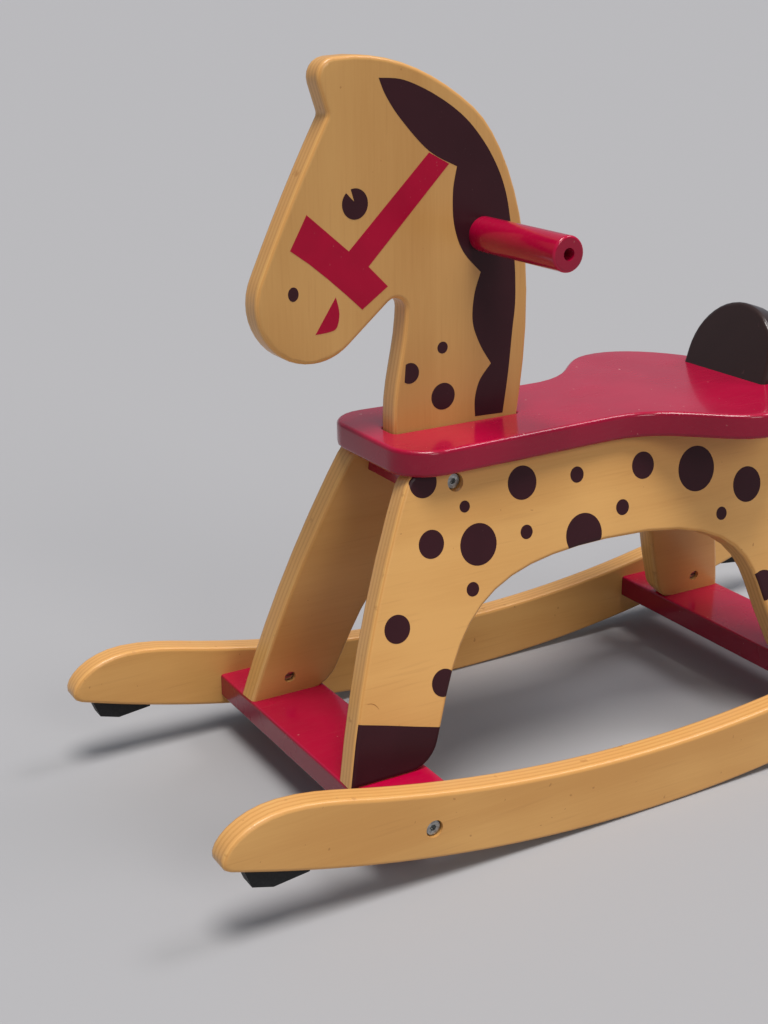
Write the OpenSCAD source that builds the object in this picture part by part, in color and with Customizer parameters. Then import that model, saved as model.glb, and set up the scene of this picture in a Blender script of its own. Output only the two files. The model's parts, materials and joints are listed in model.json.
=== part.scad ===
// Rocking horse in plywood: a head panel and a seat on two splayed side panels,
// which stand on two footboards between a pair of rockers.
// +X is forward, +Y is the horse's left and +Z is up. The floor is at z = 0.

/* [Plywood] */
// Thickness of every plywood panel
ply_t = 18; // [15:0.5:22]
// Radius of the rounded panel edges
edge_r = 3; // [1:0.5:4]

/* [Rockers] */
// Clear distance between the two rockers
rocker_gap = 240; // [220:1:280]
// Length of a rocker from nose to nose
rocker_len = 670; // [610:1:740]
// Radius of the curve that rolls on the floor
rocker_r = 1068; // [900:1:1300]
// Depth of a rocker between its two curves
rocker_depth = 46; // [42:1:52]
// Height of the crest of the nose above the floor
nose_h = 83; // [78:1:90]
// Distance from the end of the rocker back to the crest of its nose
nose_back = 43; // [36:1:50]

/* [Footboards] */
// Width of a footboard
board_w = 60; // [54:1:70]
// Height of the footboards' top above the floor
board_top = 48; // [42:1:49]
// Distance between the centre lines of the two footboards
board_pitch = 381; // [350:1:400]

/* [Side panels] */
// Height of the body from the footboards to the underside of the seat
body_h = 191; // [170:1:220]
// Angle by which each side panel leans in
splay = 11; // [8:0.5:12]
// Distance between the outer faces of the side panels at the footboards
stance = 167; // [155:1:175]
// Length of the foot of a front leg
foot_len = 63; // [56:1:68]
// Length of a side panel at the seat
top_len = 303; // [280:1:320]
// How far the front and rear edges of a side panel bow outwards
edge_bow = 6; // [0:0.5:10]
// Height of the arch along the panel
arch_h = 125; // [110:1:135]
// Angle of the inner edges of the legs from upright
arch_lean = 20; // [16:1:24]

/* [Seat] */
// Distance from the middle of the horse to the front of the seat
seat_front = 161; // [154:1:178]
// Distance from the middle of the horse to the rear of the seat
seat_rear = 180; // [174:1:196]
// Width of the front of the seat
seat_front_w = 118; // [100:1:130]
// Width of the seat at its waist
seat_waist_w = 107; // [96:1:116]
// Width of the rear of the seat
seat_rear_w = 210; // [190:1:240]

/* [Head] */
// Distance from the middle of the horse to the back of the neck
neck_back = 43; // [40:1:50]
// Distance from the middle of the horse to the front of the neck
neck_front = 142; // [134:1:146]
// Height of the head above the seat
head_h = 241.5; // [225:0.5:260]
// Radius of the muzzle
muzzle_r = 39.5; // [34:0.5:44]
// Distance from the middle of the horse to the centre of the muzzle
muzzle_x = 200; // [192:1:208]
// Height of the centre of the muzzle above the seat
muzzle_z = 94; // [88:0.5:102]

/* [Handle] */
// Diameter of the grips
grip_d = 23; // [20:0.5:28]
// Length of each grip
grip_len = 94; // [80:1:110]
// Distance from the middle of the horse to the grips
grip_x = 73; // [68:1:80]
// Height of the grips above the seat
grip_z = 126; // [112:1:140]

/* [Backrest] */
// Width of the backrest
back_w = 88; // [78:1:96]
// Height of the backrest along its face
back_h = 55; // [50:1:64]
// Angle by which the backrest leans back
back_lean = 18; // [8:1:20]
// Distance from the middle of the horse to the front of the backrest
back_x = 150; // [142:1:154]

/* [Cross blocks] */
// Length of each cross block under the seat
block_len = 94; // [90:1:98]
// Distance from the middle of the horse to the outer end of a block
block_end = 140; // [136:1:144]

/* [End stops] */
// Length of an end stop along the rocker
stop_len = 45; // [36:1:52]
// Width of an end stop
stop_w = 12; // [10:0.5:16]
// Depth of an end stop below the rocker
stop_depth = 10.5; // [8:0.5:11]
// Distance from the end of the rocker to the stop
stop_back = 15; // [12:1:20]

/* [Fasteners] */
// Diameter of the bolts
bolt_d = 6; // [5:0.5:6.5]
// Diameter of the bolt heads
head_d = 10; // [9.5:0.5:11]
// Diameter of the barrel nuts
nut_d = 8.5; // [8:0.5:10.5]
// Diameter of the wooden locating dowels
dowel_d = 8; // [6:0.5:9]
// Diameter of the wood screws
screw_d = 4; // [3.5:0.5:4.5]
// Clearance round bolts, nuts, screws and dowels
clearance = 0.2; // [0.1:0.05:0.4]
// Clearance between the neck and its slot in the seat
slot_gap = 0.3; // [0.2:0.1:0.6]

/* [Hidden] */
$fn = 48;

FRONT = 1;
REAR = -1;
LEFT = 1;
RIGHT = -1;
wood = "burlywood";
red = "crimson";
brown = "#3b2226";
zinc = "silver";
black = "#1c1c1e";

// Levels and places that follow from the driving dimensions
ease_steps = 3;
eps = 0.01;
seat_z = board_top + body_h;
seat_top = seat_z + ply_t;
board_x = board_pitch / 2;
board_mid = board_top - ply_t / 2;
block_mid = seat_z - ply_t / 2;
wall = ply_t / cos(splay);
slope_len = body_h / cos(splay);
trim = 1.1 * ply_t * tan(splay);
muzzle = [muzzle_x, muzzle_z];

// Side panel, as distances along its own face
foot_out = board_x + board_w / 2;
top_out = top_len / 2;
top_corner_r = 18;
foot_corner_r = 25;
arch_spring = 45;
rear_pulls = [0.42, 0.93];
front_pulls = [0.76, 0.62];

// Places of the fasteners
leg_nut_up = 18;
leg_dowel_in = 13;
rocker_nut_in = 28;
rocker_dowel_in = 18;
body_bolt_in = 21;
body_nut_in = 15;
body_dowel_in = 50;
neck_bolt_in = 20;
neck_bolt_pitch = 42;
neck_nut_up = 34;
seat_screw_in = 9;
seat_screw_y = 17;
backrest_screw_y = back_w / 4;
body_bolt_x = block_end - body_bolt_in;
body_dowel_x = block_end - body_dowel_in;
neck_bolt_x = [neck_back + neck_bolt_in, neck_back + neck_bolt_in + neck_bolt_pitch];
seat_screw_x = block_end - seat_screw_in;

// Lengths and depths of the fasteners
counterbore_d = 12;
head_h_bolt = 4;
recess = 7.5;
rocker_recess = 6;
nut_len = 13;
nut_hole = 15.5;
socket_d = 4.6;
socket_depth = 2.5;
slot_w = 1.2;
dowel_len = 24;
screw_head_d = 2 * screw_d;
rod_bore_d = 8;
sleeve_d = 7.6;
sleeve_len = 30;
sleeve_recess = 12;
grip_ease = 2;

// ---- Outline functions -------------------------------------------------------

function unit(v) = v / norm(v);

function polar(r, a) = [r * cos(a), r * sin(a)];

function arc(centre, r, a0, a1, n) =
    [for (i = [0 : n]) centre + polar(r, a0 + (a1 - a0) * i / n)];

function bezier(p0, p1, p2, p3, n) =
    [for (i = [0 : n])
        let (t = i / n, s = 1 - t)
        s * s * s * p0 + 3 * s * s * t * p1 + 3 * s * t * t * p2 + t * t * t * p3];

// Arc of radius r that rounds the corner b between its neighbours a and c
function fillet(a, b, c, r, n) =
    let (u = unit(a - b),
        w = unit(c - b),
        half = acos(u * w) / 2,
        centre = b + unit(u + w) * r / sin(half),
        from = b + u * r / tan(half) - centre,
        to = b + w * r / tan(half) - centre,
        a0 = atan2(from.y, from.x),
        sweep = (atan2(to.y, to.x) - a0 + 540) % 360 - 180)
    arc(centre, r, a0, a0 + sweep, n);

// Circular arc from a to b that bows by s to the right of its direction
function bow(a, b, s, n) =
    let (c = norm(b - a),
        r = (c * c / 4 + s * s) / (2 * s),
        left = unit([a.y - b.y, b.x - a.x]),
        centre = (a + b) / 2 + left * (r - s),
        half = asin(c / 2 / r),
        mid = atan2(-left.y, -left.x))
    arc(centre, r, mid - half, mid + half, n);

function reversed(list) = [for (i = [len(list) - 1 : -1 : 0]) list[i]];

function flip_x(list) = reversed([for (p = list) [-p.x, p.y]]);

function flip_y(list) = reversed([for (p = list) [p.x, -p.y]]);

// Anticlockwise outline moved inwards by d
function inset(outline, d) =
    let (n = len(outline))
    [for (i = [0 : n - 1])
        let (before = unit(outline[i] - outline[(i + n - 1) % n]),
            after = unit(outline[(i + 1) % n] - outline[i]),
            n0 = [-before.y, before.x],
            n1 = [-after.y, after.x])
        outline[i] + (n0 + n1) * d / (1 + n0 * n1)];

function turn(a, b, c) = cross(b - a, c - b);

function in_triangle(p, a, b, c) = turn(a, b, p) >= 0 && turn(b, c, p) >= 0 && turn(c, a, p) >= 0;

// Whether the corner at place i of an anticlockwise loop of point numbers can be cut off
function is_ear(points, loop, i) =
    let (n = len(loop),
        a = points[loop[(i + n - 1) % n]],
        b = points[loop[i]],
        c = points[loop[(i + 1) % n]])
    turn(a, b, c) > 0
    && len([for (k = [2 : n - 2]) if (in_triangle(points[loop[(i + k) % n]], a, b, c)) k]) == 0;

function ear_place(points, loop, i = 0) = is_ear(points, loop, i) ? i : ear_place(points, loop, i + 1);

// Triangles that fill an anticlockwise loop, found by cutting off one corner after another
function triangles(points, loop) =
    len(loop) == 3 ? [loop]
    : let (n = len(loop), i = ear_place(points, loop))
    concat(
        [[loop[(i + n - 1) % n], loop[i], loop[(i + 1) % n]]],
        triangles(points, [for (k = [0 : n - 1]) if (k != i) loop[k]]));

// ---- Shared shapes -----------------------------------------------------------

// Panel of thickness t whose edges are rounded to radius r on both faces
module eased_panel(outline, t = ply_t, r = edge_r) {
    n = len(outline);
    turns = [for (i = [0 : ease_steps]) 90 * i / ease_steps];
    lower = [for (a = turns) [r * (1 - sin(a)), r * (1 - cos(a))]];
    rings = concat(lower, [for (g = reversed(lower)) [g.x, t - g.y]]);
    last = len(rings) - 1;
    points = [for (g = rings) for (p = inset(outline, g.x)) [p.x, p.y, g.y]];
    sides = [for (k = [0 : last - 1]) for (i = [0 : n - 1])
        let (j = (i + 1) % n)
        [k * n + i, (k + 1) * n + i, (k + 1) * n + j, k * n + j]];
    bottom = triangles(inset(outline, r), [for (i = [0 : n - 1]) i]);
    top = [for (f = bottom) [for (i = reversed(f)) last * n + i]];
    polyhedron(points, concat(bottom, sides, top), convexity = 6);
}

// Stands a flat outline up, so that its y becomes z and its far face is at y = 0
module upright() {
    rotate([90, 0, 0]) children();
}

// Moves a child from the frame of the left side panel's outer face to its place
module on_side(side) {
    mirror([0, side == LEFT ? 0 : 1, 0])
    translate([0, stance / 2, board_top])
    rotate([splay, 0, 0])
    children();
}

module for_sides() {
    for (side = [RIGHT, LEFT]) mirror([0, side == LEFT ? 0 : 1, 0]) children();
}

module for_ends() {
    for (end = [REAR, FRONT]) mirror([end == FRONT ? 0 : 1, 0, 0]) children();
}

module bar(d, from, to) {
    translate([0, 0, from]) cylinder(d = d, h = to - from);
}

// Bolt along +Z with its head below z = 0 and a hexagon socket in the head
module bolt(length) {
    difference() {
        union() {
            bar(bolt_d, -eps, length);
            bar(head_d, -head_h_bolt, 0);
        }
        translate([0, 0, -head_h_bolt - eps]) cylinder(d = socket_d, h = socket_depth, $fn = 6);
    }
}

// Barrel nut along +Z, centred on z = 0, with a slotted lower end and a cross hole along the given axis
module barrel_nut(across) {
    difference() {
        bar(nut_d, -nut_len / 2, nut_len / 2);
        rotate(across) bar(bolt_d, -nut_d, nut_d);
        translate([-nut_d / 2, -slot_w / 2, -nut_len / 2 - eps]) cube([nut_d, slot_w, slot_w]);
    }
}

// Countersunk wood screw along +Z whose head is flush with z = 0
module screw(length) {
    rotate_extrude() polygon([
        [0, 0],
        [screw_head_d / 2, 0],
        [screw_d / 2, screw_d / 2],
        [screw_d / 2, length - screw_d],
        [0, length]]);
}

module dowel() {
    chamfer = 1;
    rotate_extrude() polygon([
        [0, -dowel_len / 2],
        [dowel_d / 2 - chamfer, -dowel_len / 2],
        [dowel_d / 2, -dowel_len / 2 + chamfer],
        [dowel_d / 2, dowel_len / 2 - chamfer],
        [dowel_d / 2 - chamfer, dowel_len / 2],
        [0, dowel_len / 2]]);
}

module bolt_hole(from, to) {
    bar(bolt_d + 2 * clearance, from, to);
}

module nut_hole() {
    bar(nut_d + 2 * clearance, -nut_hole, nut_len / 2 + clearance);
}

module dowel_hole() {
    bar(dowel_d, -dowel_len / 2 - clearance, dowel_len / 2 + clearance);
}

module screw_hole(length) {
    screw(length);
    bar(screw_head_d, -ply_t, 0);
}

// ---- Places of the fasteners, each along the local +Z -------------------------

module rocker_bolt_places() {
    for_sides() for_ends()
    translate([board_x, rocker_gap / 2 + ply_t - rocker_recess, board_mid])
    rotate([90, 0, 0])
    children();
}

module rocker_nut_places() {
    for_sides() for_ends() translate([board_x, rocker_gap / 2 - rocker_nut_in, board_mid]) children();
}

module rocker_dowel_places() {
    for_sides() for_ends()
    translate([board_x - rocker_dowel_in, rocker_gap / 2, board_mid])
    rotate([90, 0, 0])
    children();
}

module leg_places(along) {
    for (side = [RIGHT, LEFT]) on_side(side) for_ends() translate([along, -ply_t / 2, 0]) children();
}

module body_bolt_places() {
    for_sides() for_ends()
    translate([body_bolt_x, panel_face(block_mid) - recess, block_mid])
    rotate([90, 0, 0])
    children();
}

module body_nut_places() {
    for_sides() for_ends() translate([body_bolt_x, body_nut_in, block_mid]) children();
}

module body_dowel_places() {
    for_sides() for_ends()
    translate([body_dowel_x, panel_face(block_mid) - wall, block_mid])
    rotate([90, 0, 0])
    children();
}

module neck_bolt_places() {
    for (x = neck_bolt_x) translate([x, 0, seat_z - ply_t]) children();
}

module seat_screw_places() {
    for_sides() for_ends() translate([seat_screw_x, seat_screw_y, seat_z - ply_t]) children();
}

// The screw line lies in the middle of the backrest's thickness
module backrest_screw_places() {
    drop = ply_t / cos(back_lean);
    for (y = [-backrest_screw_y, backrest_screw_y])
        on_backrest() translate([ply_t / 2, y, -drop - ply_t / 2 * tan(back_lean)]) children();
}

// Distance from the middle to the outer face of a side panel at the height z
function panel_face(z) = stance / 2 - (z - board_top) * tan(splay);

// ---- Rockers -----------------------------------------------------------------

nose_run = 63;
roll_end = rocker_len / 2 - 6;
roll_angle = asin(roll_end / rocker_r);
inner_r = rocker_r - rocker_depth;
blend_x = rocker_len / 2 - nose_back - nose_run;
blend_angle = asin(blend_x / inner_r);

function on_curve(r, a) = [r * sin(a), rocker_r - r * cos(a)];

// From the end of the rolling curve over the nose to the start of the inner curve
function nose() =
    let (tip = on_curve(rocker_r, roll_angle),
        crest = [rocker_len / 2 - nose_back, nose_h],
        joint = on_curve(inner_r, blend_angle))
    concat(
        bezier(tip, tip + polar(16, roll_angle), crest + [35, 0], crest, 10),
        [for (p = bezier(crest, crest - [22, 0], joint + polar(20, blend_angle), joint, 5)) if (p != crest) p]);

function rocker_outline() =
    let (roll = [for (i = [-23 : 23]) on_curve(rocker_r, roll_angle * i / 24)],
        upper = [for (i = [11 : -1 : -11]) on_curve(inner_r, blend_angle * i / 12)])
    concat(roll, nose(), upper, flip_x(nose()));

module rocker(side) {
    mirror([0, side == LEFT ? 0 : 1, 0])
    translate([0, rocker_gap / 2 + ply_t, 0])
    upright()
    eased_panel(rocker_outline());
}

module rocker_with_holes(side) {
    color(wood) difference() {
        rocker(side);
        rocker_bolt_places() bolt_hole(-ply_t, ply_t);
        rocker_bolt_places() bar(counterbore_d, -ply_t, 0);
        rocker_dowel_places() dowel_hole();
        stop_screw_places() screw(stop_screw_len);
    }
}

module rocker_left() { rocker_with_holes(LEFT); }

module rocker_right() { rocker_with_holes(RIGHT); }

// ---- End stops ---------------------------------------------------------------

stop_screw_len = 22;
stop_screw_in = 6;
stop_front_a = asin((rocker_len / 2 - stop_back) / rocker_r);
stop_rear_a = stop_front_a - stop_len / rocker_r * 180 / PI;
stop_sweep = stop_front_a - stop_rear_a;
stop_toe_a = stop_front_a - 0.18 * stop_sweep;
stop_heel_a = stop_front_a - 0.5 * stop_sweep;
stop_screw_a = (stop_toe_a + stop_heel_a) / 2;

// A wedge that follows the rolling curve and is deepest towards its front
module end_stop(side, end) {
    face = [for (i = [0 : 6]) on_curve(rocker_r, stop_rear_a + stop_sweep * i / 6)];
    sole = [
        on_curve(rocker_r + stop_depth, stop_toe_a),
        on_curve(rocker_r + stop_depth, stop_heel_a),
        on_curve(rocker_r + stop_depth * 0.12, stop_rear_a)];
    color(black) difference() {
        mirror([0, side == LEFT ? 0 : 1, 0])
        mirror([end == FRONT ? 0 : 1, 0, 0])
        translate([0, (rocker_gap + ply_t + stop_w) / 2, 0])
        upright()
        linear_extrude(stop_w) polygon(concat(face, sole));
        stop_screw_places() screw_hole(stop_screw_len);
    }
}

module stop_screw_places() {
    for_sides() for_ends()
    translate([0, (rocker_gap + ply_t) / 2, rocker_r])
    rotate([0, -stop_screw_a, 0])
    translate([0, 0, -rocker_r - stop_depth + stop_screw_in])
    children();
}

module front_left_stop() { end_stop(LEFT, FRONT); }

module front_right_stop() { end_stop(RIGHT, FRONT); }

module rear_left_stop() { end_stop(LEFT, REAR); }

module rear_right_stop() { end_stop(RIGHT, REAR); }

module stop_screws() { color(zinc) stop_screw_places() screw(stop_screw_len); }

// ---- Footboards --------------------------------------------------------------

board_edge_r = 2;

module rounded_bar_profile(w, t, r) {
    square([w - 2 * r, t], center = true);
    square([w, t - 2 * r], center = true);
    for (x = [-1, 1]) for (y = [-1, 1]) translate([x * (w / 2 - r), y * (t / 2 - r)]) circle(r);
}

module footboard(end) {
    color(red) difference() {
        translate([end * board_x, rocker_gap / 2, board_mid])
        upright()
        linear_extrude(rocker_gap) rounded_bar_profile(board_w, ply_t, board_edge_r);
        rocker_bolt_places() bolt_hole(-ply_t, rocker_nut_in + ply_t);
        rocker_nut_places() nut_hole();
        rocker_dowel_places() dowel_hole();
        leg_places(board_x) bolt_hole(-2 * ply_t, ply_t);
        leg_places(board_x) bar(counterbore_d, -2 * ply_t, leg_bolt_from);
        leg_places(board_x - leg_dowel_in) dowel_hole();
    }
}

module front_footboard() { footboard(FRONT); }

module rear_footboard() { footboard(REAR); }

// ---- Side panels -------------------------------------------------------------

leg_bolt_from = -ply_t + recess;
leg_bolt_len = leg_nut_up - leg_bolt_from + nut_d / 2;

// Half of the arch, from the foot up to its crown, as [distance from its middle, height]
// The two pulls set how square its shoulder is
function arch_half(pulls) =
    let (foot = foot_out - foot_len,
        lean = tan(arch_lean),
        low = [foot, 0],
        spring = [foot - arch_spring * lean, arch_spring],
        lift = (arch_h - arch_spring) * pulls[0])
    concat(
        fillet([foot_out, 0], low, spring, foot_corner_r, 6),
        bezier(spring, spring + [-lift * lean, lift], [spring.x * pulls[1], arch_h], [0, arch_h], 10));

// Outline on the panel's face, with the foot at height 0
function side_outline() =
    let (top = slope_len + trim,
        rear_arch = [for (p = arch_half(rear_pulls)) if (p.x > 0) [-p.x, p.y]],
        front_arch = reversed(arch_half(front_pulls)),
        edge = bow([foot_out, 0], [top_out, top], edge_bow, 7),
        front_edge = [for (i = [0 : 6]) edge[i]],
        corner = fillet(edge[6], edge[7], [0, top], top_corner_r, 4),
        front = concat(front_edge, corner))
    concat(flip_x(front), rear_arch, front_arch, front);

module side_panel(side) {
    color(wood) difference() {
        intersection() {
            on_side(side) upright() eased_panel(side_outline());
            translate([-foot_out - ply_t, -stance, board_top]) cube([2 * (foot_out + ply_t), 2 * stance, body_h]);
        }
        leg_places(board_x) bolt_hole(-ply_t, leg_nut_up + ply_t);
        leg_places(board_x) leg_nut_turn() nut_hole();
        leg_places(board_x - leg_dowel_in) dowel_hole();
        body_bolt_places() bolt_hole(-ply_t, 2 * ply_t);
        body_bolt_places() bar(counterbore_d, -ply_t, 0);
        body_dowel_places() dowel_hole();
    }
}

// Turns a barrel nut so that its open end shows on the inner face of the leg
module leg_nut_turn() {
    translate([0, 0, leg_nut_up]) rotate([-90, 0, 0]) children();
}

module side_panel_left() { side_panel(LEFT); }

module side_panel_right() { side_panel(RIGHT); }

// ---- Cross blocks under the seat ---------------------------------------------

module seat_block(end) {
    top_half = panel_face(seat_z) - wall;
    low_half = panel_face(seat_z - ply_t) - wall;
    color(red) difference() {
        mirror([end == FRONT ? 0 : 1, 0, 0])
        translate([block_end - block_len, 0, seat_z - ply_t])
        rotate([90, 0, 90])
        linear_extrude(block_len) polygon([[-low_half, 0], [low_half, 0], [top_half, ply_t], [-top_half, ply_t]]);
        body_bolt_places() bolt_hole(-ply_t, panel_face(block_mid));
        body_nut_places() nut_hole();
        body_dowel_places() dowel_hole();
        seat_screw_places() screw_hole(seat_screw_len);
        neck_bolt_places() bolt_hole(-ply_t, 2 * ply_t);
        neck_bolt_places() bar(counterbore_d, -ply_t, recess);
    }
}

module front_seat_block() { seat_block(FRONT); }

module rear_seat_block() { seat_block(REAR); }

// ---- Seat --------------------------------------------------------------------

seat_screw_len = ply_t + 12;
seat_corner_r = 28;
waist_x = -6;
flare_from = -60;
flare_to = -66;
widest_x = -108;
tail_pull = -146;
slot_rim_r = 2;
slot_len = neck_front - neck_back + 2 * slot_gap;

function seat_half() =
    let (nose_w = seat_front_w / 2,
        waist = seat_waist_w / 2,
        wide = seat_rear_w / 2)
    concat(
        fillet([seat_front, 0], [seat_front, nose_w], [waist_x, waist], seat_corner_r, 6),
        bezier([waist_x, waist], [flare_from, waist - 2.5], [flare_to, wide], [widest_x, wide], 12),
        [for (p = bezier([widest_x, wide], [tail_pull, wide], [-seat_rear, 0.51 * wide], [-seat_rear, 0], 12))
            if (p.x < widest_x && p.y > 0) p]);

module slot_slice(from, depth, grow) {
    translate([0, 0, from])
    linear_extrude(depth)
    rounded_bar_profile(slot_len + 2 * grow, ply_t + 2 * (slot_gap + grow), edge_r + grow);
}

// Rounds the top edge of the neck's slot
module slot_rim() {
    for (i = [0 : ease_steps - 1]) hull() for (a = [90 * i, 90 * (i + 1)] / ease_steps)
        slot_slice(seat_top - slot_rim_r * (1 - sin(a)), eps, slot_rim_r * (1 - cos(a)));
}

module seat() {
    half = seat_half();
    color(red) difference() {
        translate([0, 0, seat_z]) eased_panel(concat(half, [[-seat_rear, 0]], flip_y(half)));
        translate([(neck_front + neck_back) / 2, 0, 0]) {
            slot_slice(seat_z - eps, ply_t + 2 * eps, 0);
            slot_rim();
        }
        seat_screw_places() screw(seat_screw_len);
        backrest_screw_places() screw_hole(backrest_screw_len);
    }
}

module seat_screws() { color(zinc) seat_screw_places() screw(seat_screw_len); }

// ---- Backrest ----------------------------------------------------------------

backrest_screw_len = ply_t + 20;

// Frame of the backrest: z runs up its face and x runs back through its thickness
module on_backrest() {
    translate([-back_x, 0, seat_top]) rotate([0, -back_lean, 0]) mirror([1, 0, 0]) children();
}

module backrest() {
    skirt = ply_t * tan(back_lean) + 1;
    half = back_w / 2;
    shoulder = back_h - half;
    outline = concat([[-half, -skirt], [half, -skirt]], arc([0, shoulder], half, 0, 180, 22));
    color(brown) difference() {
        on_backrest() rotate([90, 0, 90]) eased_panel(outline);
        translate([-back_x - back_h - ply_t, -back_w, seat_top - 2 * ply_t])
        cube([2 * (back_h + ply_t), 2 * back_w, 2 * ply_t]);
        backrest_screw_places() screw(backrest_screw_len);
    }
}

module backrest_screws() { color(zinc) backrest_screw_places() screw(backrest_screw_len); }

// ---- Head --------------------------------------------------------------------

jaw_angle = 40;
throat_r = 8;
brow_bow = 1.2;
brow_notch = [186.5, head_h - 34];
forelock = [197, head_h - 1.5];
crest = [
    [180, head_h],
    [144, head_h + 3.5],
    [110, head_h - 10.5],
    [80.5, head_h - 34],
    [57.5, head_h - 52.5],
    [neck_back - 5, 140],
    [neck_back - 6.5, 85],
    [neck_back - 7.5, 50],
    [neck_back - 3, 20],
    [neck_back, 0]];
chest = [
    [neck_front, 10],
    [neck_front, 32],
    [neck_front - 8, 54],
    [neck_front - 9.5, 74]];

// Outline in x and height above the seat, from the front of the foot round to its back
function head_outline() =
    let (foot_front = [neck_front, -ply_t],
        throat = [neck_front - 11.5, 100.5],
        rise = brow_notch - muzzle,
        brow_angle = 180 - atan2(rise.y, rise.x) - asin(muzzle_r / norm(rise)),
        brow_foot = muzzle + polar(muzzle_r, 90 - brow_angle),
        chin_back = [muzzle.x - muzzle_r * tan(jaw_angle / 2), muzzle.y - muzzle_r],
        chin_front = [muzzle.x + muzzle_r * tan((90 + 90 - brow_angle) / 2), muzzle.y - muzzle_r])
    concat(
        [foot_front],
        bezier(chest[0], chest[1], chest[2], chest[3], 6),
        fillet(chest[3], throat, chin_back, throat_r, 6),
        fillet(throat, chin_back, chin_front, muzzle_r, 6),
        [for (p = fillet(chin_back, chin_front, brow_notch, muzzle_r, 14)) if (p.x > muzzle.x + 1) p],
        [for (i = [1 : 5]) bow(brow_foot, brow_notch, brow_bow, 6)[i]],
        fillet(brow_foot, brow_notch, forelock, 5, 3),
        fillet(brow_notch, forelock, crest[0], 12, 6),
        bezier(crest[0], crest[1], crest[2], crest[3], 9),
        [for (i = [1 : 9]) bezier(crest[3], crest[4], crest[5], crest[6], 9)[i]],
        [for (i = [1 : 4]) bezier(crest[6], crest[7], crest[8], crest[9], 4)[i]],
        [[neck_back, -ply_t]]);

module head_panel() {
    color(wood) difference() {
        translate([0, ply_t / 2, seat_top]) upright() eased_panel(head_outline());
        translate([-neck_front, -ply_t, seat_z - 3 * ply_t]) cube([3 * neck_front, 2 * ply_t, 3 * ply_t]);
        translate([grip_x, 0, seat_top + grip_z]) rotate([90, 0, 0]) bar(rod_bore_d, -ply_t, ply_t);
        neck_bolt_places() bolt_hole(-ply_t, neck_bolt_len + recess + 2);
        neck_bolt_places() neck_nut_turn() nut_hole();
    }
}

neck_bolt_len = ply_t - recess + neck_nut_up + nut_d / 2;

module neck_nut_turn() {
    translate([0, 0, ply_t + neck_nut_up]) rotate([-90, 0, 0]) children();
}

// ---- Handle ------------------------------------------------------------------

module handle_places(side) {
    mirror([0, side == LEFT ? 0 : 1, 0])
    translate([grip_x, ply_t / 2, seat_top + grip_z])
    rotate([-90, 0, 0])
    children();
}

module grip() {
    r = grip_d / 2;
    bore = rod_bore_d / 2;
    end = arc([r - grip_ease, grip_len - grip_ease], grip_ease, 0, 90, 4);
    rotate_extrude() polygon(concat([[bore, 0], [r, 0]], end, [[bore, grip_len]]));
}

module handle_left() { color(red) handle_places(LEFT) grip(); }

module handle_right() { color(red) handle_places(RIGHT) grip(); }

rod_half = ply_t / 2 + grip_len - sleeve_recess - socket_depth - 1;

module handle_rod() {
    color(zinc)
    translate([grip_x, 0, seat_top + grip_z])
    rotate([90, 0, 0])
    bar(bolt_d, -rod_half, rod_half);
}

module handle_sleeve_nuts() {
    top = grip_len - sleeve_recess;
    color(zinc) for (side = [RIGHT, LEFT]) handle_places(side) difference() {
        bar(sleeve_d, top - sleeve_len, top);
        bar(bolt_d, top - sleeve_len - eps, top - socket_depth - 1);
        translate([0, 0, top - socket_depth - 2]) cylinder(d = socket_d, h = socket_depth + 3, $fn = 6);
    }
}

// ---- Bolts, nuts and dowels --------------------------------------------------

rocker_bolt_len = rocker_nut_in + ply_t - rocker_recess + nut_d / 2;
body_bolt_len = panel_face(block_mid) - recess - body_nut_in + nut_d / 2;

module rocker_bolts() { color(zinc) rocker_bolt_places() bolt(rocker_bolt_len); }

module rocker_barrel_nuts() { color(zinc) rocker_nut_places() barrel_nut([90, 0, 0]); }

module rocker_dowels() { color(wood) rocker_dowel_places() dowel(); }

module leg_bolts() {
    color(zinc) leg_places(board_x) translate([0, 0, leg_bolt_from]) bolt(leg_bolt_len);
}

module leg_barrel_nuts() {
    color(zinc) leg_places(board_x) leg_nut_turn() barrel_nut([90, 0, 0]);
}

module leg_dowels() { color(wood) leg_places(board_x - leg_dowel_in) dowel(); }

module body_bolts() { color(zinc) body_bolt_places() bolt(body_bolt_len); }

module body_barrel_nuts() { color(zinc) body_nut_places() barrel_nut([90, 0, 0]); }

module body_dowels() { color(wood) body_dowel_places() dowel(); }

module neck_bolts() {
    color(zinc) neck_bolt_places() translate([0, 0, recess]) bolt(neck_bolt_len);
}

module neck_barrel_nuts() {
    color(zinc) neck_bolt_places() neck_nut_turn() barrel_nut([90, 0, 0]);
}

rocker_left();
rocker_right();
front_footboard();
rear_footboard();
side_panel_left();
side_panel_right();
front_seat_block();
rear_seat_block();
seat();
backrest();
head_panel();
handle_left();
handle_right();
handle_rod();
handle_sleeve_nuts();
front_left_stop();
front_right_stop();
rear_left_stop();
rear_right_stop();
stop_screws();
rocker_bolts();
rocker_barrel_nuts();
rocker_dowels();
leg_bolts();
leg_barrel_nuts();
leg_dowels();
body_bolts();
body_barrel_nuts();
body_dowels();
neck_bolts();
neck_barrel_nuts();
seat_screws();
backrest_screws();
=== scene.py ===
"""A plywood rocking horse, dressed around its packed construction: lacquered birch with layered edges,
glossy red boards and grips, dark brown prints, black stops and zinc bolts."""

import json
import math

import bmesh
import bpy
from mathutils import Matrix, Vector


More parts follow.
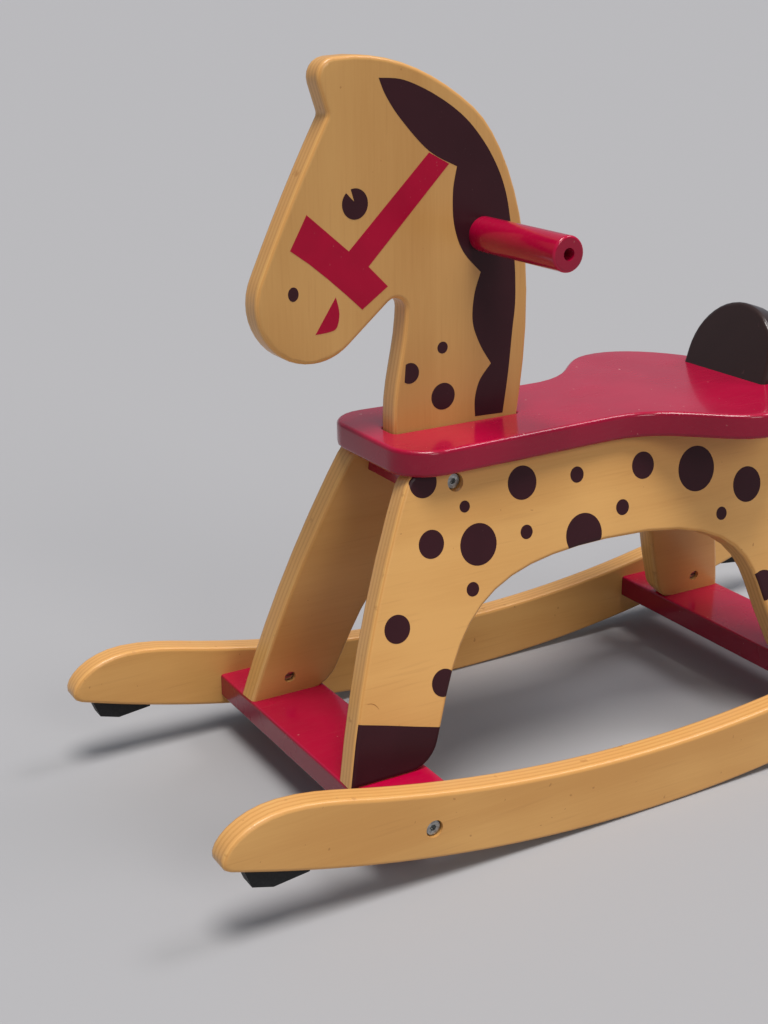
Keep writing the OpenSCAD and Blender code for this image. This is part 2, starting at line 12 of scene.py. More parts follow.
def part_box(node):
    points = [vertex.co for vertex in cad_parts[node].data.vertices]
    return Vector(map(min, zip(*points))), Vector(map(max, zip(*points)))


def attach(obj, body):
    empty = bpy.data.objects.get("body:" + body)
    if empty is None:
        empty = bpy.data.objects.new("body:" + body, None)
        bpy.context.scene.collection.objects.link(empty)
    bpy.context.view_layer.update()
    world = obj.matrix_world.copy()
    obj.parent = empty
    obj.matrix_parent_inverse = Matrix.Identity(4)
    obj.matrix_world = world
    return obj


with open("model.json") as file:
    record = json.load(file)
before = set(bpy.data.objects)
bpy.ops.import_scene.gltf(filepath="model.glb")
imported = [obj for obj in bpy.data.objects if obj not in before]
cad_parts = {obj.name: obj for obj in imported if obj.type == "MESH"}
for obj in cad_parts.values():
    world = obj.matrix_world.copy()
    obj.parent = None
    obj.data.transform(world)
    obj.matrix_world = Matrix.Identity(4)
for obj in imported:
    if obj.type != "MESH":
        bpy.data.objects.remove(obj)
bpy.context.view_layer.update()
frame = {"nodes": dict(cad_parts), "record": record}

MM = 0.001
NODES = frame["nodes"]
BODY = "root"
LEFT = 1
RIGHT = -1

# ---- Places read from the frame ------------------------------------------------

# The head panel stands on the middle plane, so its face is half a board away from it
HEAD_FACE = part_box("head_panel")[1].y
PLY = 2 * HEAD_FACE
BOARD_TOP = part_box("front_footboard")[1].z
ROCKER_MIDDLE = (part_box("rocker_left")[0].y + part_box("rocker_left")[1].y) / 2

# Lean of a side panel, how far its outer face is from the origin, and how far from the middle
# plane that face meets the footboards
SPLAY = math.radians(11)
SIDE_FACE = max(
    v.co.y * math.cos(SPLAY) + v.co.z * math.sin(SPLAY)
    for v in NODES["side_panel_left"].data.vertices)
SIDE_MIDDLE = SIDE_FACE - PLY / 2
STANCE = (SIDE_FACE - BOARD_TOP * math.sin(SPLAY)) / math.cos(SPLAY)

# ---- Camera --------------------------------------------------------------------

IMAGE_HEIGHT = 1024
SENSOR = 36.0
FOCAL_PX = 1530.7
CAMERA_AT = Vector((631.5, 852.0, 545.0)) * MM
CAMERA_YAW = math.radians(240.31)
CAMERA_PITCH = math.radians(-19.38)
CAMERA_ROLL = math.radians(0.68)


def add_camera():
    """The photograph's camera, as solved from the horse's own edges."""
    ahead = Vector((
        math.cos(CAMERA_PITCH) * math.cos(CAMERA_YAW),
        math.cos(CAMERA_PITCH) * math.sin(CAMERA_YAW),
        math.sin(CAMERA_PITCH)))
    level = ahead.cross(Vector((0, 0, 1))).normalized()
    below = ahead.cross(level)
    right = math.cos(CAMERA_ROLL) * level + math.sin(CAMERA_ROLL) * below
    down = -math.sin(CAMERA_ROLL) * level + math.cos(CAMERA_ROLL) * below
    data = bpy.data.cameras.new("camera")
    data.sensor_width = SENSOR
    data.lens = FOCAL_PX / IMAGE_HEIGHT * SENSOR
    camera = bpy.data.objects.new("camera", data)
    bpy.context.scene.collection.objects.link(camera)
    axes = Matrix((right, -down, -ahead)).transposed()
    camera.matrix_world = Matrix.Translation(CAMERA_AT) @ axes.to_4x4()
    bpy.context.scene.camera = camera


# ---- Material building ---------------------------------------------------------

# Sockets of a Mix node when it mixes colours
MIX_FIRST = 6
MIX_SECOND = 7
MIX_RESULT = 2


class Shader:
    """A node material whose values are numbers, vectors or the outputs of other nodes."""

    def __init__(self, name):
        self.material = bpy.data.materials.new(name)
        self.material.use_nodes = True
        self.tree = self.material.node_tree
        self.tree.nodes.clear()
        self.bsdf = self.tree.nodes.new("ShaderNodeBsdfPrincipled")
        output = self.tree.nodes.new("ShaderNodeOutputMaterial")
        self.tree.links.new(self.bsdf.outputs["BSDF"], output.inputs["Surface"])
        coordinates = self.tree.nodes.new("ShaderNodeTexCoord")
        self.place = coordinates.outputs["Object"]
        self.normal = coordinates.outputs["Normal"]

    def put(self, socket, value):
        """Sets a socket to a constant, or links it to another node's output."""
        if isinstance(value, bpy.types.NodeSocket):
            self.tree.links.new(value, socket)
        elif isinstance(value, (tuple, list)) and len(value) == 3 and len(socket.default_value) == 4:
            socket.default_value = (*value, 1)
        else:
            socket.default_value = value

    def set(self, **values):
        """Sets inputs of the surface shader, named as in Blender with _ for each space."""
        for name, value in values.items():
            self.put(self.bsdf.inputs[name.replace("_", " ")], value)

    def math(self, operation, *values):
        node = self.tree.nodes.new("ShaderNodeMath")
        node.operation = operation
        for socket, value in zip(node.inputs, values):
            self.put(socket, value)
        return node.outputs[0]

    def times(self, first, second):
        return self.math("MULTIPLY", first, second)

    def plus(self, first, second):
        return self.math("ADD", first, second)

    def size(self, value):
        return self.math("ABSOLUTE", value)

    def scaled(self, vector, factors):
        node = self.tree.nodes.new("ShaderNodeVectorMath")
        node.operation = "MULTIPLY"
        self.put(node.inputs[0], vector)
        self.put(node.inputs[1], factors)
        return node.outputs["Vector"]

    def turned(self, vector, angle):
        """The vector turned about X by the given angle."""
        node = self.tree.nodes.new("ShaderNodeVectorRotate")
        node.rotation_type = "X_AXIS"
        self.put(node.inputs["Vector"], vector)
        node.inputs["Angle"].default_value = angle
        return node.outputs[0]

    def split(self, vector):
        node = self.tree.nodes.new("ShaderNodeSeparateXYZ")
        self.put(node.inputs[0], vector)
        return node.outputs[0], node.outputs[1], node.outputs[2]

    def joined(self, x, y, z):
        node = self.tree.nodes.new("ShaderNodeCombineXYZ")
        for socket, value in zip(node.inputs, (x, y, z)):
            self.put(socket, value)
        return node.outputs[0]

    def noise(self, vector, scale, detail=2.0, roughness=0.5, distortion=0.0):
        """Noise with the given number of cells per metre."""
        node = self.tree.nodes.new("ShaderNodeTexNoise")
        self.put(node.inputs["Vector"], vector)
        node.inputs["Scale"].default_value = scale
        node.inputs["Detail"].default_value = detail
        node.inputs["Roughness"].default_value = roughness
        node.inputs["Distortion"].default_value = distortion
        return node.outputs["Fac"]

    def span(self, value, low, high, to_low=0.0, to_high=1.0):
        """Maps low..high smoothly to to_low..to_high and stays there outside."""
        node = self.tree.nodes.new("ShaderNodeMapRange")
        node.interpolation_type = "SMOOTHSTEP"
        for socket, setting in zip(node.inputs, (value, low, high, to_low, to_high)):
            self.put(socket, setting)
        return node.outputs["Result"]

    def mix(self, amount, first, second):
        """The first colour, with the given amount of the second over it."""
        node = self.tree.nodes.new("ShaderNodeMix")
        node.data_type = "RGBA"
        self.put(node.inputs["Factor"], amount)
        self.put(node.inputs[MIX_FIRST], first)
        self.put(node.inputs[MIX_SECOND], second)
        return node.outputs[MIX_RESULT]

    def bump(self, height, strength, distance, before=None):
        """Normal of a relief of the given depth, over the relief before it if there is one."""
        node = self.tree.nodes.new("ShaderNodeBump")
        node.inputs["Strength"].default_value = strength
        node.inputs["Distance"].default_value = distance
        self.put(node.inputs["Height"], height)
        if before is not None:
            self.put(node.inputs["Normal"], before)
        return node.outputs["Normal"]


# ---- Birch plywood -------------------------------------------------------------

VENEERS = 9
FACE_PALE = (0.66, 0.36, 0.115)
FACE_DEEP = (0.56, 0.28, 0.080)
FLECK = (0.34, 0.14, 0.04)
EDGE_LONG = (0.66, 0.34, 0.106)
EDGE_END = (0.60, 0.295, 0.087)
GLUE_LINE = (0.27, 0.11, 0.03)

# The veneer's pattern is squeezed along the grain and through the board, which draws it out that way
GRAIN_SQUEEZE = 14 / 300
DEPTH_SQUEEZE = 0.2

# Noise scales, in cells per metre
CLOUDS = 22
FIBRES = 660
PORES = 450
PATCHES = 9
PINS = 330
LAYER_WAVES = 40
LONG_STREAKS = 60
END_SPECKLES = 1300
KNOCKS = 120
SMEARS = 25

# How far a glue line wanders, in veneers
LAYER_WANDER = 0.16

# How strongly each mark shows in the colour
PORE_SHOW = 0.10
PIN_SHOW = 0.6
GLUE_SHOW = 0.16
KNOCK_SHOW = 0.45

# Depth of the finest relief, in wood, lacquer, ink and plating
FINE_RELIEF = 0.2 * MM


def veneer_colour(look, fibre_space, fibre, painted_shade_factor):
    """Face veneer: drifting tone, faint fibres and pores, and a few dark pin marks."""
    cloud = look.noise(fibre_space, CLOUDS, detail=3, distortion=0.6)
    pore = look.noise(fibre_space, PORES, detail=0)
    patch = look.noise(look.place, PATCHES, detail=1)
    pin = look.span(look.noise(look.place, PINS, detail=0), 0.862, 0.875)
    tone = look.plus(look.times(cloud, 0.50), look.times(fibre, 0.12))
    tone = look.plus(tone, look.times(patch, 0.40))
    # Both veneer tones are darkened by the factor: painted shade, for a panel that gets less light
    pale = tuple(c * painted_shade_factor for c in FACE_PALE)
    deep = tuple(c * painted_shade_factor for c in FACE_DEEP)
    face = look.mix(look.span(tone, 0.36, 0.66), pale, deep)
    face = look.mix(look.times(look.span(pore, 0.70, 0.80), PORE_SHOW), face, FLECK)
    return look.mix(look.times(pin, PIN_SHOW), face, FLECK)


def edge_colour(look, layer, turn):
    """Layered edge: long grain and end grain by turns, with a thin glue line between them.

    layer counts the veneers through the board, and turn is that count folded between 0 and 1."""
    end_grain = look.span(look.math("PINGPONG", look.times(layer, 0.5), 0.5), 0.22, 0.28)
    speckle = look.noise(look.place, END_SPECKLES, detail=1)
    streak = look.noise(look.place, LONG_STREAKS, detail=2)
    end_tone = look.mix(look.span(speckle, 0.42, 0.68), EDGE_END, FACE_DEEP)
    long_tone = look.mix(look.span(streak, 0.35, 0.7), EDGE_LONG, FACE_PALE)
    edge = look.mix(end_grain, long_tone, end_tone)
    glue = look.span(look.size(look.math("SUBTRACT", turn, 0.5)), 0.0, 0.5)
    return look.mix(look.times(look.span(glue, 0.90, 1.0), GLUE_SHOW), edge, GLUE_LINE)


def plywood(name, tilt, middle, grain, painted_shade_factor=1.0):
    """Clear-lacquered plywood whose face normal is Y turned about X by tilt.

    middle is the distance of the panel's middle from the origin along that normal,
    grain is the axis, X or Z, along which the face veneer runs, and the last factor darkens that veneer as
    painted shade."""
    look = Shader(name)
    x, y, z = look.split(look.turned(look.place, -tilt))
    facing = look.size(look.split(look.turned(look.normal, -tilt))[1])

    along, across = (x, z) if grain == "X" else (z, x)
    fibre_space = look.joined(
        look.times(along, GRAIN_SQUEEZE), across, look.times(y, DEPTH_SQUEEZE))
    fibre = look.noise(fibre_space, FIBRES, detail=2, roughness=0.6)
    face = veneer_colour(look, fibre_space, fibre, painted_shade_factor)

    # Veneers counted through the board from one face to the other, a little wavy
    layer = look.math("DIVIDE", look.plus(y, PLY / 2 - middle), PLY / VENEERS)
    wave = look.math("SUBTRACT", look.noise(look.place, LAYER_WAVES, detail=1), 0.5)
    layer = look.plus(layer, look.times(wave, LAYER_WANDER))
    turn = look.math("PINGPONG", layer, 1.0)
    colour = look.mix(look.span(facing, 0.86, 0.985), edge_colour(look, layer, turn), face)

    # Small dull knocks on the rounded rims
    dent = look.span(look.noise(look.place, KNOCKS, detail=3), 0.66, 0.76)
    knock = look.times(dent, look.span(facing, 0.99, 0.9))
    colour = look.mix(look.times(knock, KNOCK_SHOW), colour, FLECK)
    rough = look.span(look.noise(look.place, SMEARS, detail=2), 0.3, 0.7, 0.30, 0.40)
    rough = look.plus(rough, look.times(knock, 0.25))
    relief = look.bump(fibre, 0.06, FINE_RELIEF)
    relief = look.bump(look.span(turn, 0.0, 0.12), 0.04, FINE_RELIEF, relief)
    look.set(Base_Color=colour, Roughness=rough, Normal=relief)
    look.set(Coat_Weight=0.25, Coat_Roughness=0.20, Coat_IOR=1.4, IOR=1.35)
    return look.material


# ---- Lacquers, inks, rubber, metal and beech -----------------------------------

RED = (0.43, 0.0006, 0.037)
PRINT_RED = (0.37, 0.0004, 0.027)
RED_WORN = (0.66, 0.30, 0.27)
BROWN = (0.036, 0.008, 0.012)
UMBER = (0.029, 0.0145, 0.0125)
BROWN_WORN = (0.13, 0.07, 0.07)
RUBBER_DARK = (0.006, 0.006, 0.007)
RUBBER_PALE = (0.016, 0.016, 0.017)
ZINC_PALE = (0.42, 0.42, 0.40)
ZINC_DARK = (0.24, 0.24, 0.24)
BEECH_PALE = (0.62, 0.42, 0.22)
BEECH_DEEP = (0.46, 0.28, 0.13)
GRIT_RELIEF = 0.3 * MM

# Noise scales, in cells per metre
LACQUER_GRAIN = 420
LACQUER_PEEL = 900
LACQUER_CLOUDS = 14
LACQUER_SMEARS = 30
CHIPS = 170
INK_SPECKS = 700
INK_CLOUDS = 35
RUBBER_GRIT = 900
ZINC_FLAKES = 500
BEECH_FIBRES = 900

# Share of its brightness that the lacquer keeps where it is darkened: painted shade on the upright sides of
# flat boards, and open end grain soaking it up on the ends of round bars
SOAK_AND_SHADE_SHARE = 0.64


def lacquer(name, colour, worn, gloss, chips, shade_and_soak_faces=None):
    """Opaque lacquer on wood: faint grain under it, faint orange peel and small chips.

    gloss is the least roughness, and chips is how strongly the chips show. The last argument darkens some
    faces:
    "edges" paints shade on the upright sides of a board that lies flat, and "ends" darkens the end faces of
    a round bar along Y, where open end grain soaks up the lacquer."""
    look = Shader(name)
    drawn_out = look.scaled(look.place, (0.12, 1, 1))
    grain = look.noise(drawn_out, LACQUER_GRAIN, detail=2)
    peel = look.noise(look.place, LACQUER_PEEL, detail=1)
    cloud = look.noise(look.place, LACQUER_CLOUDS, detail=2)
    smear = look.noise(look.place, LACQUER_SMEARS, detail=3)
    tone = look.mix(look.span(cloud, 0.3, 0.7), colour, tuple(c * 0.86 for c in colour))
    tone = look.mix(look.times(look.span(grain, 0.45, 0.8), 0.02), tone, worn)
    nick = look.span(look.noise(look.place, CHIPS, detail=3, roughness=0.6), 0.725, 0.745)
    tone = look.mix(look.times(nick, chips), tone, worn)
    # Painted shade: the upright sides of a flat board are darkened as if less light reached them; the end
    # faces of a round bar are darkened where end grain soaks up the lacquer
    soaked_and_shaded = look.scaled(tone, (SOAK_AND_SHADE_SHARE, SOAK_AND_SHADE_SHARE, SOAK_AND_SHADE_SHARE))
    if shade_and_soak_faces == "edges":
        tone = look.mix(look.span(look.size(look.split(look.normal)[2]), 0.45, 0.95), soaked_and_shaded, tone)
    elif shade_and_soak_faces == "ends":
        tone = look.mix(look.span(look.size(look.split(look.normal)[1]), 0.80, 0.98), tone, soaked_and_shaded)
    rough = look.span(smear, 0.3, 0.75, gloss, gloss + 0.10)
    relief = look.bump(grain, 0.05, FINE_RELIEF)
    relief = look.bump(peel, 0.02, FINE_RELIEF, relief)
    look.set(Base_Color=tone, Roughness=rough, Normal=relief)
    look.set(Coat_Weight=0.5, Coat_Roughness=0.08, Coat_IOR=1.4, IOR=1.3)
    return look.material


def print_ink(name, colour, worn):
    """Screen-printed ink under the clear lacquer: even, with a few worn specks."""
    look = Shader(name)
    speck = look.span(look.noise(look.place, INK_SPECKS, detail=2), 0.72, 0.78)
    cloud = look.noise(look.place, INK_CLOUDS, detail=2)
    tone = look.mix(look.span(cloud, 0.3, 0.7), colour, tuple(c * 0.88 for c in colour))
    tone = look.mix(look.times(speck, 0.25), tone, worn)
    rough = look.span(look.noise(look.place, SMEARS, detail=2), 0.3, 0.7, 0.32, 0.42)
    look.set(Base_Color=tone, Roughness=rough, Normal=look.bump(cloud, 0.04, FINE_RELIEF))
    look.set(Coat_Weight=0.15, Coat_Roughness=0.20, Coat_IOR=1.3, IOR=1.25)
    return look.material


def rubber(name):
    """Matt black moulded rubber with a fine grit."""
    look = Shader(name)
    grit = look.noise(look.place, RUBBER_GRIT, detail=3)
    tone = look.mix(look.span(grit, 0.35, 0.7), RUBBER_DARK, RUBBER_PALE)
    rough = look.span(grit, 0.3, 0.7, 0.55, 0.72)
    look.set(Base_Color=tone, Roughness=rough, Normal=look.bump(grit, 0.15, GRIT_RELIEF))
    look.set(Specular_IOR_Level=0.25)
    return look.material


def zinc(name):
    """Zinc plating with faint crystal flakes."""
    look = Shader(name)
    flake = look.noise(look.place, ZINC_FLAKES, detail=3)
    tone = look.mix(look.span(flake, 0.35, 0.7), ZINC_PALE, ZINC_DARK)
    rough = look.span(flake, 0.3, 0.7, 0.28, 0.42)
    look.set(Base_Color=tone, Roughness=rough, Normal=look.bump(flake, 0.05, FINE_RELIEF))
    look.set(Metallic=1.0)
    return look.material


def raw_beech(name):
    """Unfinished beech, its fibres drawn out sideways and upwards, the ways the dowels run."""
    look = Shader(name)
    fibre = look.noise(look.scaled(look.place, (1, 0.1, 0.1)), BEECH_FIBRES, detail=2)
    look.set(Base_Color=look.mix(fibre, BEECH_PALE, BEECH_DEEP), Roughness=0.7)
    return look.material


# ---- Which material each node takes --------------------------------------------

RED_LACQUER = lacquer("red_lacquer", RED, RED_WORN, 0.20, 0.6, "edges")
GRIP_LACQUER = lacquer("grip_lacquer", RED, RED_WORN, 0.20, 0.6, "ends")
BROWN_LACQUER = lacquer("brown_lacquer", UMBER, BROWN_WORN, 0.30, 0.3)
BROWN_INK = print_ink("brown_ink", BROWN, BROWN_WORN)
RED_INK = print_ink("red_ink", PRINT_RED, RED_WORN)
SCRATCH_TONE = print_ink("scratch", FLECK, FACE_DEEP)

# Nodes with a material of their own; every other node takes its slot's
MATERIALS = {
    "handle_left": GRIP_LACQUER,
    "handle_right": GRIP_LACQUER,
    # The head's veneer is darkened as painted shade
    "head_panel": plywood("birch_head", 0, 0, "Z", 0.84),
    "rocker_left": plywood("birch_rocker_left", 0, ROCKER_MIDDLE, "X"),
    "rocker_right": plywood("birch_rocker_right", 0, -ROCKER_MIDDLE, "X"),
    "side_panel_left": plywood("birch_side_left", SPLAY, SIDE_MIDDLE, "X"),
    "side_panel_right": plywood("birch_side_right", -SPLAY, -SIDE_MIDDLE, "X"),
}
SLOT_MATERIALS = {
    "red_lacquer": RED_LACQUER,
    "dark_brown_lacquer": BROWN_LACQUER,
    "black_rubber": rubber("black_rubber"),
    "zinc_plated_steel": zinc("zinc_plated_steel"),
    "beech_dowel": raw_beech("beech_dowel"),
}


def dress_nodes():
    """Gives every construction node its material."""
    slots = {part["node"]: part["material_slot"] for part in frame["record"]["subparts"]}
    for name, node in NODES.items():
        material = MATERIALS.get(name) or SLOT_MATERIALS[slots[name]]
        node.data.materials.clear()
        node.data.materials.append(material)


# ---- Shading of the rounded edges ----------------------------------------------

CREASE = math.radians(38)
WELD = 0.01 * MM


def crease_group():
    """Geometry nodes that shade smoothly everywhere but at edges sharper than the crease angle."""
    group = bpy.data.node_groups.new("crease_shading", "GeometryNodeTree")
    group.interface.new_socket("Geometry", in_out="INPUT", socket_type="NodeSocketGeometry")
    group.interface.new_socket("Geometry", in_out="OUTPUT", socket_type="NodeSocketGeometry")
    entry = group.nodes.new("NodeGroupInput")
    leave = group.nodes.new("NodeGroupOutput")
    faces = group.nodes.new("GeometryNodeSetShadeSmooth")
    faces.domain = "FACE"
    edges = group.nodes.new("GeometryNodeSetShadeSmooth")
    edges.domain = "EDGE"
    edges.inputs["Shade Smooth"].default_value = False
    angle = group.nodes.new("GeometryNodeInputMeshEdgeAngle")
    sharp = group.nodes.new("FunctionNodeCompare")
    sharp.data_type = "FLOAT"
    sharp.operation = "GREATER_THAN"
    sharp.inputs[1].default_value = CREASE
    link = group.links.new
    link(entry.outputs[0], faces.inputs["Geometry"])
    link(faces.outputs[0], edges.inputs["Geometry"])
    link(angle.outputs["Unsigned Angle"], sharp.inputs[0])
    link(sharp.outputs[0], edges.inputs["Selection"])
    link(edges.outputs[0], leave.inputs[0])
    return group


def smooth_rims(objects):
    """Shades the rounded rims smoothly, with the flat faces kept flat and the shapes as they are."""
    group = crease_group()
    for piece in objects:
        weld = piece.modifiers.new("weld", "WELD")
        weld.merge_threshold = WELD
        crease = piece.modifiers.new("crease", "NODES")
        crease.node_group = group
        normals = piece.modifiers.new("normals", "WEIGHTED_NORMAL")
        normals.keep_sharp = True
        normals.weight = 100


# ---- Prints --------------------------------------------------------------------

# How far a print stands out of the face and reaches into it, and how far it wraps round a rim
INK_PROUD = 0.12 * MM
INK_DEPTH = 0.15 * MM
WRAP_DEPTH = 1.0 * MM

# Corners in the outline of a disc
ROUND_POINTS = 40


def disc(centre, radius, stretch=1.0):
    """Outline of a disc, with its height stretched."""
    x, z = centre
    turns = [2 * math.pi * i / ROUND_POINTS for i in range(ROUND_POINTS)]
    return [(x + radius * math.cos(a), z + radius * stretch * math.sin(a)) for a in turns]


def smooth_run(points, steps=7):
    """Catmull-Rom curve through the points, without its last point."""
    ends = [points[0], *points, points[-1]]
    run = []
    for p0, p1, p2, p3 in zip(ends, ends[1:], ends[2:], ends[3:]):
        for i in range(steps):
            t = i / steps
            run.append(tuple(
                0.5 * (2 * b + (c - a) * t + (2 * a - 5 * b + 4 * c - d) * t * t
                       + (3 * b - a - 3 * c + d) * t ** 3)
                for a, b, c, d in zip(p0, p1, p2, p3)))
    return run


def chain(*runs):
    """Closed outline of smooth runs that meet at their ends, each corner kept sharp."""
    outline = []
    for run in runs:
        outline += smooth_run(run) if len(run) > 2 else run[:1]
    return outline


# Outlines on the head's face: x forward and z above the floor, in millimetres
MANE_TIP = (151, 485)
MANE_CUSPS = [(94, 428), (75, 358), (66, 295)]
MANE_END = [(78.5, 259.5), (56, 258.8)]
MANE = chain(
    [MANE_TIP, (146, 474), (135, 459), (115, 439), MANE_CUSPS[0]],
    [MANE_CUSPS[0], (97, 412), (96, 391), (89, 373), MANE_CUSPS[1]],
    [MANE_CUSPS[1], (80, 343), (81, 325), (75, 309), MANE_CUSPS[2]],
    [MANE_CUSPS[2], (75, 284.5), (78.8, 272), MANE_END[0]],
    MANE_END,
    [MANE_END[1], (52, 286), (49, 316), (47, 336), (48, 362), (52, 390), (56, 409), (63, 426),
     (74, 443), (89, 459), (110, 473), (133, 483), MANE_TIP])
BRIDLE = [
    (115, 438), (100, 430), (160, 370), (146, 356), (165, 343), (177, 354.2), (189.2, 365), (202, 375.6),
    (215, 385), (203, 406), (174, 381)]
SMILE = chain(
    [(184, 353), (182.1, 346), (181.8, 340), (184, 333.2), (189.3, 331.3), (199, 330.7)],
    [(199, 330.7), (184, 353)])
NOSTRIL = disc((213.7, 358), 3.65, 1.23)
NECK_DOTS = [disc((104.7, 310.7), 4), disc((104.2, 277.3), 9.2)]

# A dot cut short by a line beside the neck's front edge, and that line's place and lean
CUT_DOT_AT = (130, 296.5)
CUT_DOT_R = 7
CUT_LINE = 134
CUT_LEAN = 0.12

# The eye's place, radius and stretched height, and the sides and corner of the wedge cut into it
EYE_AT = (169, 410)
EYE_R = 9.2
EYE_STRETCH = 1.05
EYE_NOTCH = (math.radians(48), math.radians(72))
EYE_NOTCH_CORNER = (0.5, 1.4)


def cut_dot():
    """The part of the cut dot that is behind its line."""
    z = CUT_DOT_AT[1]
    return [p for p in disc(CUT_DOT_AT, CUT_DOT_R) if p[0] < CUT_LINE - CUT_LEAN * (p[1] - z)]


def eye():
    """A round eye with a wedge of light cut in from above and ahead."""
    x, z = EYE_AT
    low, high = EYE_NOTCH
    sweep = 2 * math.pi - (high - low)
    rim = [high + sweep * i / ROUND_POINTS for i in range(ROUND_POINTS + 1)]
    outline = [(x + EYE_R * math.cos(a), z + EYE_STRETCH * EYE_R * math.sin(a)) for a in rim]
    return outline + [(x + EYE_NOTCH_CORNER[0], z + EYE_NOTCH_CORNER[1])]


# Marks on the outer face of a side panel, in millimetres: x forward, then the distance up the face
# from the footboard. A dot's radius comes last.
SIDE_DOTS = [
    (67, 176.5, 11.6), (21.6, 174.5, 5.6), (-35.6, 171.7, 9.7), (-83.3, 161.5, 16.5), (-129.7, 142.3, 13.2),
    (113.8, 168.4, 4), (141.9, 148.2, 9.6), (106, 141.4, 14.3), (67.1, 142.7, 4.9), (-14.8, 145.3, 5.6),
    (-103.7, 125, 4.9), (113.8, 112.3, 4.9), (173.8, 97.8, 9.6), (143.4, 189.5, 10.3), (20, 132, 15.2),
    (143, 54.5, 9.5), (-139, 63.5, 12), (-169, 111.5, 9.6), (-183, 77.5, 4.5)]
SCRATCH = [(201.5, 53.8), (198.5, 53.4), (195.6, 51.6), (193.4, 48.4)]
SCRATCH_WIDTH = 0.4
HOOF = [(229, -4), (229, 44), (210, 42), (189, 36.4), (169, 30.7), (148, 25), (124, 19), (124, -4)]


def to_head(point, height, side):
    """From the head's face to the frame, with height standing out from the face."""
    x, z = point
    return Vector((x * MM, side * (HEAD_FACE + height), z * MM))


def to_side(point, height, side):
    """From the outer face of a side panel to the frame, with height standing out from the face."""
    x, up = point
    y = STANCE - up * MM * math.sin(SPLAY) + height * math.cos(SPLAY)
    z = BOARD_TOP + up * MM * math.cos(SPLAY) + height * math.sin(SPLAY)
    return Vector((x * MM, side * y, z))


def prism(bm, outline, place, side, low, high):
    """Closed slab over an outline, from height low to height high."""
    bottom = [bm.verts.new(place(p, low, side)) for p in outline]
    top = [bm.verts.new(place(p, high, side)) for p in outline]
    bm.faces.new(bottom)
    bm.faces.new(list(reversed(top)))
    count = len(outline)
    for i in range(count):
        j = (i + 1) % count
        bm.faces.new((bottom[j], bottom[i], top[i], top[j]))


def piece_from(bm, name, material):
    """Turns the mesh into a named piece that rides on the horse's body."""
    bmesh.ops.recalc_face_normals(bm, faces=bm.faces)
    mesh = bpy.data.meshes.new(name)
    bm.to_mesh(mesh)
    bm.free()
    piece = bpy.data.objects.new(name, mesh)
    bpy.context.scene.collection.objects.link(piece)
    mesh.materials.append(material)
    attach(piece, BODY)
    return piece


def plain_print(name, outlines, place, side, material):
    """Prints that lie wholly on a flat face."""
    bm = bmesh.new()
    for outline in outlines:
        prism(bm, outline, place, side, -INK_DEPTH, INK_PROUD)
    piece_from(bm, name, material)


# Share of the taper's half wave that is left off each end, so that the ends keep some width
BLUNT = 0.04


def thin_line(points, width):
    """Closed outline of a fine mark along the points, tapering to both ends."""
    run = smooth_run(points) + [points[-1]]
    last = len(run) - 1
    turns = [math.pi * (BLUNT + (1 - 2 * BLUNT) * i / last) for i in range(last + 1)]
    reach = [width / 2 * math.sin(a) for a in turns]
    ahead = [Vector(run[min(i + 1, last)]) - Vector(run[max(i - 1, 0)]) for i in range(last + 1)]
    across = [Vector((-a.y, a.x)).normalized() * r for a, r in zip(ahead, reach)]
    over = [tuple(Vector(p) + c) for p, c in zip(run, across)]
    under = [tuple(Vector(p) - c) for p, c in zip(run, across)]
    return over + under[::-1]


def grown_copy(node, amount):
    """Copy of a construction node, grown outwards by amount, to trim prints by."""
    bm = bmesh.new()
    bm.from_mesh(NODES[node].data)
    bmesh.ops.remove_doubles(bm, verts=bm.verts, dist=WELD)
    bm.normal_update()
    moves = [v.normal * amount for v in bm.verts]
    for v, move in zip(bm.verts, moves):
        v.co += move
    mesh = bpy.data.meshes.new("trimmer")
    bm.to_mesh(mesh)
    bm.free()
    piece = bpy.data.objects.new("trimmer", mesh)
    bpy.context.scene.collection.objects.link(piece)
    return piece


def apply_modifiers(piece):
    """Gives the piece its finished mesh in place of its modifiers."""
    graph = bpy.context.evaluated_depsgraph_get()
    mesh = bpy.data.meshes.new_from_object(piece.evaluated_get(graph))
    piece.modifiers.clear()
    piece.data = mesh


def trimmed_print(name, outlines, side, node, material):
    """Prints that run off a panel's face: cut to its shape, they wrap a little round its rim.

    The slabs stand higher than the grown panel, so its own surface becomes the print's face."""
    bm = bmesh.new()
    for outline in outlines:
        prism(bm, outline, to_side, side, -WRAP_DEPTH, 2 * INK_PROUD)
    piece = piece_from(bm, name, material)
    trimmer = grown_copy(node, INK_PROUD)
    cut = piece.modifiers.new("trim", "BOOLEAN")
    cut.operation = "INTERSECT"
    cut.solver = "EXACT"
    cut.object = trimmer
    apply_modifiers(piece)
    bpy.data.objects.remove(trimmer)
    piece.data.materials.clear()
    piece.data.materials.append(material)


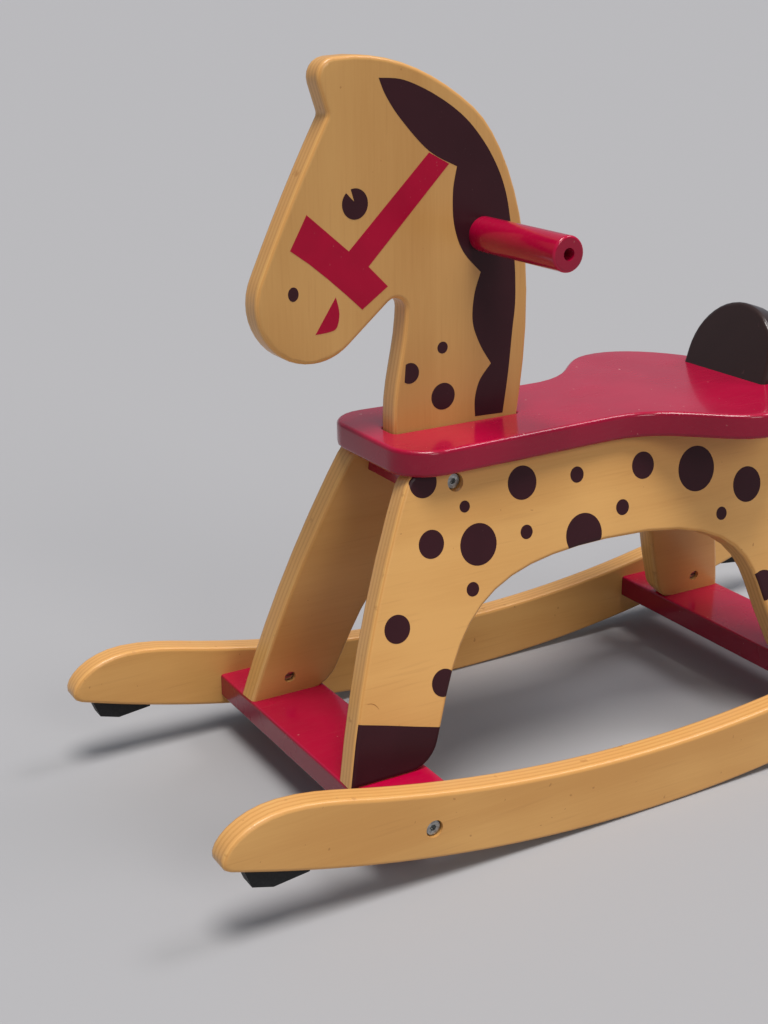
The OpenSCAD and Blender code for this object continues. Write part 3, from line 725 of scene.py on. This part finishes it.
def add_prints():
    """The same prints on both sides, mirrored, and one scratch on the left front leg."""
    for side, word in ((LEFT, "left"), (RIGHT, "right")):
        brown = [MANE, eye(), NOSTRIL, cut_dot(), *NECK_DOTS]
        plain_print("head_print_" + word, brown, to_head, side, BROWN_INK)
        plain_print("bridle_print_" + word, [BRIDLE, SMILE], to_head, side, RED_INK)
        dots = [disc((x, up), r) for x, up, r in SIDE_DOTS]
        hooves = [HOOF, [(-x, up) for x, up in HOOF]]
        node = "side_panel_" + word
        trimmed_print("dots_" + word, dots, side, node, BROWN_INK)
        trimmed_print("hooves_" + word, hooves, side, node, BROWN_INK)
    mark = thin_line(SCRATCH, SCRATCH_WIDTH)
    plain_print("scratch_left", [mark], to_side, LEFT, SCRATCH_TONE)


# ---- Floor and light -----------------------------------------------------------

# The floor reaches far enough that its edge is above the photograph's view
FLOOR_HALF = 60.0
FLOOR_GREY = (0.345, 0.345, 0.355)
SKY = (0.80, 0.88, 1.0, 1)
SKY_STRENGTH = 0.30

# Name, direction of the source, its width in degrees, its strength and its colour
SUNS = [
    ("key", (0.08, 0.23, 1.0), 26, 3.0, (1.0, 0.965, 0.93)),
    ("front", (-0.05, 1.0, 0.55), 22, 0.65, (1.0, 0.965, 0.92)),
    ("rim", (-0.57, 0.10, 0.80), 18, 0.7, (1.0, 0.97, 1.0)),
]


def add_floor():
    """A plain pale floor."""
    bm = bmesh.new()
    corners = ((-1, -1), (1, -1), (1, 1), (-1, 1))
    bm.faces.new([bm.verts.new((x * FLOOR_HALF, y * FLOOR_HALF, 0)) for x, y in corners])
    mesh = bpy.data.meshes.new("floor")
    bm.to_mesh(mesh)
    bm.free()
    floor = bpy.data.objects.new("floor", mesh)
    bpy.context.scene.collection.objects.link(floor)
    look = Shader("floor")
    look.set(Base_Color=FLOOR_GREY, Roughness=0.75, Specular_IOR_Level=0.2)
    mesh.materials.append(look.material)


def add_sun(name, source, spread, strength, colour):
    """Even soft light from the direction of source, as from a large panel far away."""
    data = bpy.data.lights.new(name, "SUN")
    data.angle = math.radians(spread)
    data.energy = strength
    data.color = colour
    lamp = bpy.data.objects.new(name, data)
    lamp.rotation_euler = Vector(source).to_track_quat("Z", "Y").to_euler()
    bpy.context.scene.collection.objects.link(lamp)


def add_lights():
    """Soft light from above, from the left and from the rear, and a faint cool sky."""
    for settings in SUNS:
        add_sun(*settings)
    world = bpy.data.worlds.new("world")
    world.use_nodes = True
    background = world.node_tree.nodes["Background"]
    background.inputs["Color"].default_value = SKY
    background.inputs["Strength"].default_value = SKY_STRENGTH
    bpy.context.scene.world = world
    bpy.context.scene.view_settings.view_transform = "Standard"


add_camera()
dress_nodes()
smooth_rims(NODES.values())
add_prints()
add_floor()
add_lights()
